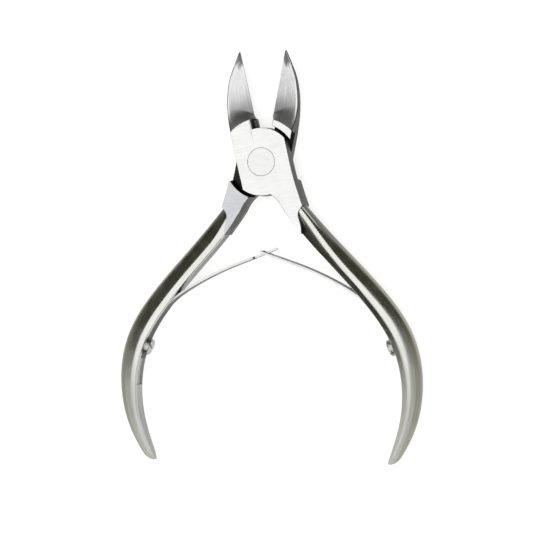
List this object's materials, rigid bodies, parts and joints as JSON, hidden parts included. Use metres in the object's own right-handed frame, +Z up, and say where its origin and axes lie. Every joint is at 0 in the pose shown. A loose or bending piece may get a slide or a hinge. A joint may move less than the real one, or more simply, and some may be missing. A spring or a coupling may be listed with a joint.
{
  "type": "nail clipper",
  "caption": "Plier-type nail clipper with a lap joint, flush rivet, long curved handles and interlocking leaf springs that open it.",
  "frame": {"origin": "on the pivot axis, in the flat underside of the joint that the tool lies on", "axes": "+Z up along the pivot axis, away from the surface it lies on; +Y towards the jaw tips; +X towards the handle that starts at the upper lap plate"},
  "size_m": [0.091, 0.1192, 0.0074],
  "materials": {
    "lever_steel": "satin brushed stainless steel",
    "rivet_steel": "satin, ground flush",
    "spring_steel": "bright rolled spring steel",
    "screw_steel": "turned, slightly dull",
    "peg_steel": "dark, unpolished"
  },
  "bodies": {
    "front_lever": {"front_lever": "lever_steel", "pivot_rivet": "rivet_steel", "stop_peg": "peg_steel", "right_spring_foot": "spring_steel", "right_spring_screw": "screw_steel"},
    "back_lever": {"back_lever": "lever_steel", "left_spring_foot": "spring_steel", "left_spring_screw": "screw_steel"},
    "right_leaf": {"right_spring_leaf": "spring_steel"},
    "left_leaf": {"left_spring_leaf": "spring_steel"}
  },
  "joints": [
    {"name": "pivot", "type": "hinge", "parent": "front_lever", "child": "back_lever", "pos_m": [0, 0, 0], "axis": [0, 0, 1], "range_deg": [0, 23.6], "stiffness_Nm_per_rad": 1.2, "springref_deg": -11.46},
    {"name": "right_spring_flex", "type": "hinge", "parent": "front_lever", "child": "right_leaf", "pos_m": [0.02631, -0.03829, 0.0037], "axis": [0, 0, 1], "range_deg": [-16, 0]},
    {"name": "left_spring_flex", "type": "hinge", "parent": "back_lever", "child": "left_leaf", "pos_m": [-0.02631, -0.03829, 0.0037], "axis": [0, 0, 1], "range_deg": [0, 16]}
  ],
  "couplings": [
    {"joint": "right_spring_flex", "follows": "pivot", "ratio": -0.66},
    {"joint": "left_spring_flex", "follows": "pivot", "ratio": 0.66}
  ]
}
